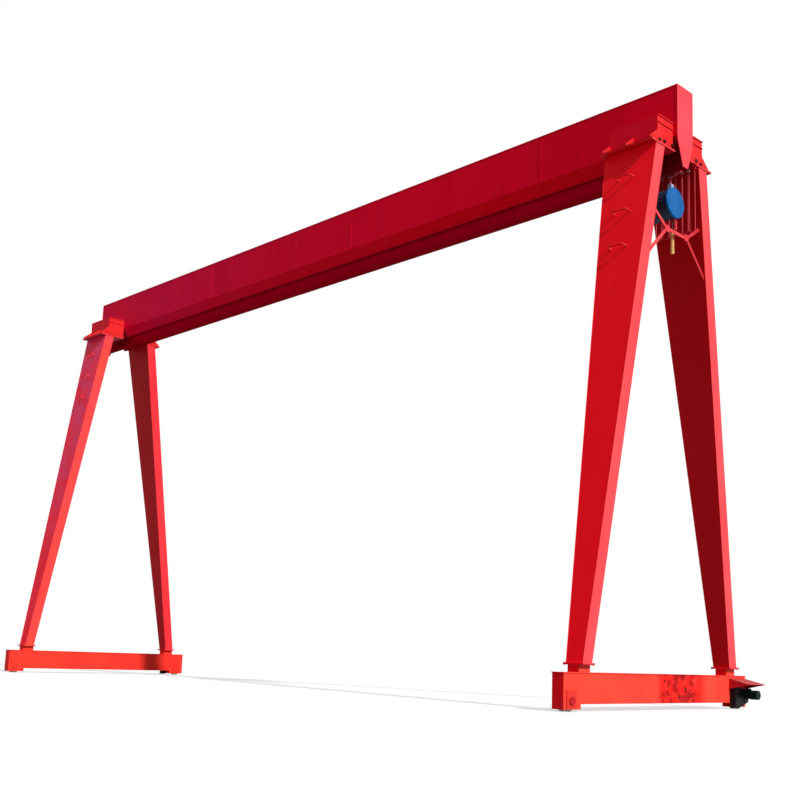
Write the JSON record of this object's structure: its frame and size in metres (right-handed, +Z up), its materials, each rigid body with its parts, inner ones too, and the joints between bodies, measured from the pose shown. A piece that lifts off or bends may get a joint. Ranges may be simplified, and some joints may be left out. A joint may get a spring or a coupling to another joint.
{
  "type": "gantry crane",
  "caption": "Single-girder gantry crane: box girder on two A-shaped leg frames with track wheels, and a travelling wire-rope hoist with a cable festoon.",
  "frame": {"origin": "on the track's level, under the middle of the girder", "axes": "+X along the girder towards the hoist's parked end, +Z up"},
  "size_m": [16.306, 4.52, 9],
  "materials": {
    "red_paint": "gloss",
    "dark_drive": "satin",
    "drive_motor": "satin",
    "wheel_steel": "worn",
    "cable": "matte",
    "carrier": "satin",
    "track": "satin",
    "hoist_blue": "gloss",
    "hoist_navy": "satin",
    "bare_steel": "satin",
    "box_grey": "satin",
    "rope": "satin",
    "pendant": "matte",
    "hook_yellow": "gloss",
    "hook_steel": "matte"
  },
  "bodies": {
    "crane": {"drive_gearbox_far": "dark_drive", "drive_gearbox_near": "dark_drive", "drive_motor_far": "drive_motor", "drive_motor_near": "drive_motor", "festoon_loop_1": "cable", "festoon_rail": "track", "girder_back_web": "red_paint", "girder_end_plate_far": "red_paint", "girder_end_plate_near": "red_paint", "girder_front_web": "red_paint", "girder_top_plate": "red_paint", "girder_trough": "red_paint", "ground_beam_far": "red_paint", "ground_beam_near": "red_paint", "leg_far_back": "red_paint", "leg_far_front": "red_paint", "leg_near_back": "red_paint", "leg_near_front": "red_paint", "rail_beam": "red_paint", "rungs_far": "red_paint", "rungs_near": "red_paint", "saddle_far_back": "red_paint", "saddle_far_front": "red_paint", "saddle_near_back": "red_paint", "saddle_near_front": "red_paint", "service_brace": "red_paint"},
    "hoist": {"hoist_cable": "cable", "hoist_control_box": "box_grey", "hoist_drum": "bare_steel", "hoist_drum_housing": "hoist_navy", "hoist_end_cover": "hoist_blue", "hoist_gear_case": "hoist_navy", "hoist_limit_lever": "red_paint", "hoist_motor": "hoist_navy", "hoist_ropes": "rope", "hoist_terminal_box": "box_grey", "hoist_trolley_frame": "hoist_navy", "hoist_trolley_wheels": "bare_steel", "pendant_station": "pendant", "pendant_stem": "dark_drive"},
    "hook": {"hook": "hook_steel", "hook_block": "hook_yellow"},
    "wheel_far_back": {"wheel_far_back": "wheel_steel"},
    "wheel_far_front": {"wheel_far_front": "wheel_steel"},
    "wheel_near_back": {"wheel_near_back": "wheel_steel"},
    "wheel_near_front": {"wheel_near_front": "wheel_steel"},
    "carrier_1": {"festoon_carrier_1": "carrier", "festoon_loop_2": "cable"},
    "carrier_2": {"festoon_carrier_2": "carrier", "festoon_loop_3": "cable"},
    "carrier_3": {"festoon_carrier_3": "carrier", "festoon_loop_4": "cable"},
    "carrier_4": {"festoon_carrier_4": "carrier", "festoon_loop_5": "cable"},
    "carrier_5": {"festoon_carrier_5": "carrier", "festoon_loop_6": "cable"},
    "carrier_6": {"festoon_carrier_6": "carrier", "festoon_loop_7": "cable"},
    "carrier_7": {"festoon_carrier_7": "carrier"}
  },
  "joints": [
    {"name": "hoist_travel", "type": "slide", "parent": "crane", "child": "hoist", "axis": [1, 0, 0], "range_m": [-13.4, 0]},
    {"name": "hook_lift", "type": "slide", "parent": "hoist", "child": "hook", "axis": [0, 0, 1], "range_m": [-5.9, 0], "deforming": ["hoist_ropes"]},
    {"name": "wheel_far_back_roll", "type": "hinge", "parent": "crane", "child": "wheel_far_back", "pos_m": [-7.507, 2.093, 0.135], "axis": [1, 0, 0], "continuous": true},
    {"name": "wheel_far_front_roll", "type": "hinge", "parent": "crane", "child": "wheel_far_front", "pos_m": [-7.507, -2.093, 0.135], "axis": [1, 0, 0], "continuous": true},
    {"name": "wheel_near_back_roll", "type": "hinge", "parent": "crane", "child": "wheel_near_back", "pos_m": [7.66, 2.093, 0.135], "axis": [1, 0, 0], "continuous": true},
    {"name": "wheel_near_front_roll", "type": "hinge", "parent": "crane", "child": "wheel_near_front", "pos_m": [7.66, -2.093, 0.135], "axis": [1, 0, 0], "continuous": true},
    {"name": "carrier_1_slide", "type": "slide", "parent": "crane", "child": "carrier_1", "axis": [1, 0, 0], "range_m": [-1.9153, 0]},
    {"name": "carrier_2_slide", "type": "slide", "parent": "carrier_1", "child": "carrier_2", "axis": [1, 0, 0], "range_m": [-1.9153, 0]},
    {"name": "carrier_3_slide", "type": "slide", "parent": "carrier_2", "child": "carrier_3", "axis": [1, 0, 0], "range_m": [-1.9153, 0]},
    {"name": "carrier_4_slide", "type": "slide", "parent": "carrier_3", "child": "carrier_4", "axis": [1, 0, 0], "range_m": [-1.9153, 0]},
    {"name": "carrier_5_slide", "type": "slide", "parent": "carrier_4", "child": "carrier_5", "axis": [1, 0, 0], "range_m": [-1.9153, 0]},
    {"name": "carrier_6_slide", "type": "slide", "parent": "carrier_5", "child": "carrier_6", "axis": [1, 0, 0], "range_m": [-1.9153, 0]},
    {"name": "carrier_7_slide", "type": "slide", "parent": "carrier_6", "child": "carrier_7", "axis": [1, 0, 0], "range_m": [-1.9153, 0]}
  ],
  "couplings": [
    {"joint": "carrier_1_slide", "follows": "hoist_travel", "ratio": 0.14286},
    {"joint": "carrier_2_slide", "follows": "hoist_travel", "ratio": 0.14286},
    {"joint": "carrier_3_slide", "follows": "hoist_travel", "ratio": 0.14286},
    {"joint": "carrier_4_slide", "follows": "hoist_travel", "ratio": 0.14286},
    {"joint": "carrier_5_slide", "follows": "hoist_travel", "ratio": 0.14286},
    {"joint": "carrier_6_slide", "follows": "hoist_travel", "ratio": 0.14286},
    {"joint": "carrier_7_slide", "follows": "hoist_travel", "ratio": 0.14286}
  ]
}
